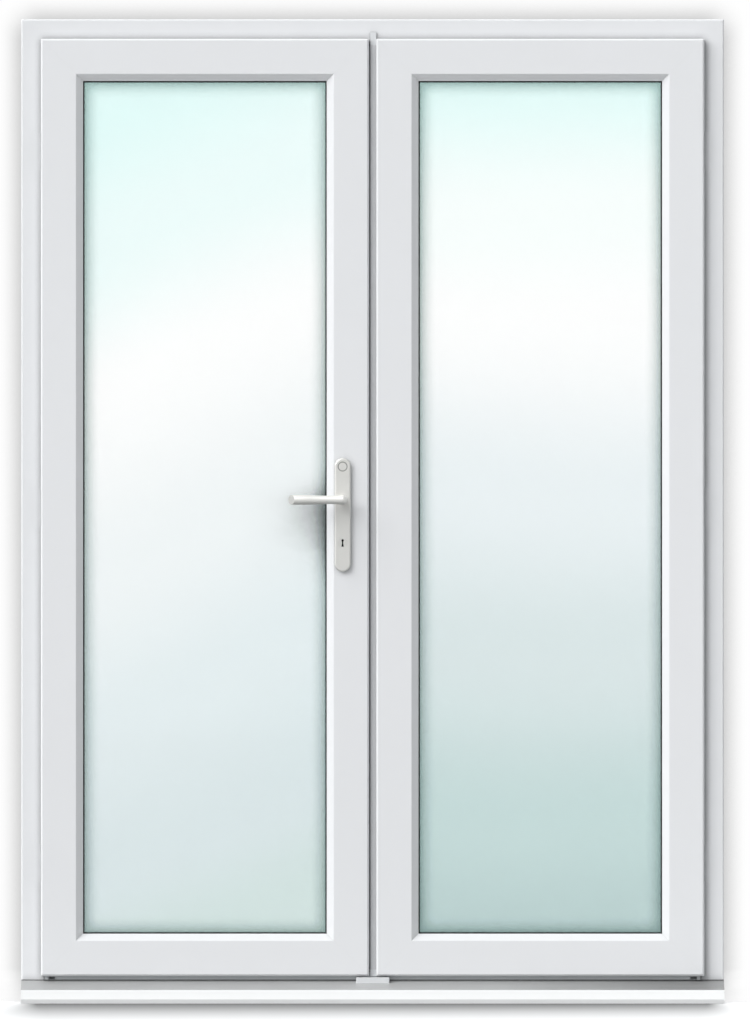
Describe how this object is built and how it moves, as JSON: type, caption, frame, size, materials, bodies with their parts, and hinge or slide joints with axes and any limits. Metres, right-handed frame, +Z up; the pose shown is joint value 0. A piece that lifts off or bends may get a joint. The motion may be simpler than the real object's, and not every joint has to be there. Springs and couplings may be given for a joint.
{
  "type": "french doors",
  "caption": "Glazed PVC french doors hung outwards in one frame on a cill, with a lever handle, a latch and lock, shoot rods and flush bolts.",
  "frame": {"origin": "middle of the width, in the plane of the frame's outside face, at the underside of the cill", "axes": "+Z up, +X along the opening to the right seen from outside, +Y from outside into the building"},
  "size_m": [1.5, 0.1855, 2.1],
  "materials": {
    "white_pvc": "smooth satin white PVC extrusion",
    "white_moulding": "white injection moulding",
    "galvanised_steel": "galvanised sheet",
    "mill_aluminium": "mill finish extrusion",
    "spacer_metal": "satin aluminium spacer",
    "clear_glass": "clear float glass",
    "black_rubber": "matt black",
    "grey_rubber": "matt grey",
    "packer_plastic": "moulded packer",
    "hinge_enamel": "white enamel",
    "plain_steel": "bright zinc plate",
    "lock_steel": "satin stainless steel",
    "satin_handle": "satin silver coating",
    "key_metal": "satin nickel plate"
  },
  "bodies": {
    "frame": {"outer_frame": "white_pvc", "frame_steels": "galvanised_steel", "threshold": "mill_aluminium", "cill": "white_pvc", "cill_end_caps": "white_moulding", "frame_gasket": "grey_rubber", "meeting_block": "white_moulding", "head_keep": "lock_steel", "threshold_keep": "lock_steel", "left_hinge_jamb_plates": "hinge_enamel", "right_hinge_jamb_plates": "hinge_enamel", "left_hinge_pins": "plain_steel", "right_hinge_pins": "plain_steel"},
    "left_leaf": {"left_leaf_frame": "white_pvc", "left_leaf_steels": "galvanised_steel", "left_outer_pane": "clear_glass", "left_inner_pane": "clear_glass", "left_spacer_bar": "spacer_metal", "left_glass_gasket": "black_rubber", "left_bead_gasket": "grey_rubber", "left_glazing_beads": "white_pvc", "left_glazing_packers": "packer_plastic", "left_weatherseal": "grey_rubber", "left_hinge_leaf_plates": "hinge_enamel", "left_meeting_strip": "white_pvc", "lock_faceplate": "lock_steel", "lock_case": "galvanised_steel", "lock_cylinder": "key_metal", "outer_handle_plate": "satin_handle", "inner_handle_plate": "satin_handle", "handle_screws": "plain_steel"},
    "right_leaf": {"right_leaf_frame": "white_pvc", "right_leaf_steels": "galvanised_steel", "right_outer_pane": "clear_glass", "right_inner_pane": "clear_glass", "right_spacer_bar": "spacer_metal", "right_glass_gasket": "black_rubber", "right_bead_gasket": "grey_rubber", "right_glazing_beads": "white_pvc", "right_glazing_packers": "packer_plastic", "right_weatherseal": "grey_rubber", "right_hinge_leaf_plates": "hinge_enamel", "meeting_mullion": "white_pvc", "mullion_end_caps": "white_moulding", "meeting_seal": "grey_rubber", "lock_keeps": "lock_steel"},
    "lever_set": {"outer_lever": "satin_handle", "inner_lever": "satin_handle", "spindle": "plain_steel"},
    "latch": {"latch_bolt": "lock_steel"},
    "key": {"key_plug": "key_metal"},
    "deadbolt": {"deadbolt": "lock_steel"},
    "upper_rod": {"upper_rod": "plain_steel"},
    "lower_rod": {"lower_rod": "plain_steel"},
    "top_flush_bolt": {"top_flush_bolt": "plain_steel"},
    "bottom_flush_bolt": {"bottom_flush_bolt": "plain_steel"}
  },
  "joints": [
    {"name": "left_leaf_swing", "type": "hinge", "parent": "frame", "child": "left_leaf", "pos_m": [-0.701, -0.011, 1.058], "axis": [0, 0, -1], "range_deg": [0, 90]},
    {"name": "right_leaf_swing", "type": "hinge", "parent": "frame", "child": "right_leaf", "pos_m": [0.701, -0.011, 1.058], "axis": [0, 0, 1], "range_deg": [0, 90]},
    {"name": "lever_turn", "type": "hinge", "parent": "left_leaf", "child": "lever_set", "pos_m": [-0.064, 0, 1.074], "axis": [0, -1, 0], "range_deg": [0, 45], "stiffness_Nm_per_rad": 1.5, "springref_deg": -20.05},
    {"name": "latch_slide", "type": "slide", "parent": "left_leaf", "child": "latch", "axis": [-1, 0, 0], "range_m": [0, 0.012]},
    {"name": "key_turn", "type": "hinge", "parent": "left_leaf", "child": "key", "pos_m": [-0.064, 0, 0.982], "axis": [0, 1, 0], "range_deg": [0, 360]},
    {"name": "deadbolt_slide", "type": "slide", "parent": "left_leaf", "child": "deadbolt", "axis": [1, 0, 0], "range_m": [0, 0.02]},
    {"name": "upper_rod_slide", "type": "slide", "parent": "left_leaf", "child": "upper_rod", "axis": [0, 0, 1], "range_m": [0, 0.02]},
    {"name": "lower_rod_slide", "type": "slide", "parent": "left_leaf", "child": "lower_rod", "axis": [0, 0, -1], "range_m": [0, 0.02]},
    {"name": "top_flush_bolt_slide", "type": "slide", "parent": "right_leaf", "child": "top_flush_bolt", "axis": [0, 0, 1], "range_m": [0, 0.02]},
    {"name": "bottom_flush_bolt_slide", "type": "slide", "parent": "right_leaf", "child": "bottom_flush_bolt", "axis": [0, 0, -1], "range_m": [0, 0.02]}
  ],
  "couplings": [
    {"joint": "latch_slide", "follows": "lever_turn", "m_per_rad": 0.015277},
    {"joint": "key_turn", "follows": "upper_rod_slide", "rad_per_m": 314.16},
    {"joint": "deadbolt_slide", "follows": "upper_rod_slide", "ratio": 1},
    {"joint": "lower_rod_slide", "follows": "upper_rod_slide", "ratio": 1}
  ]
}
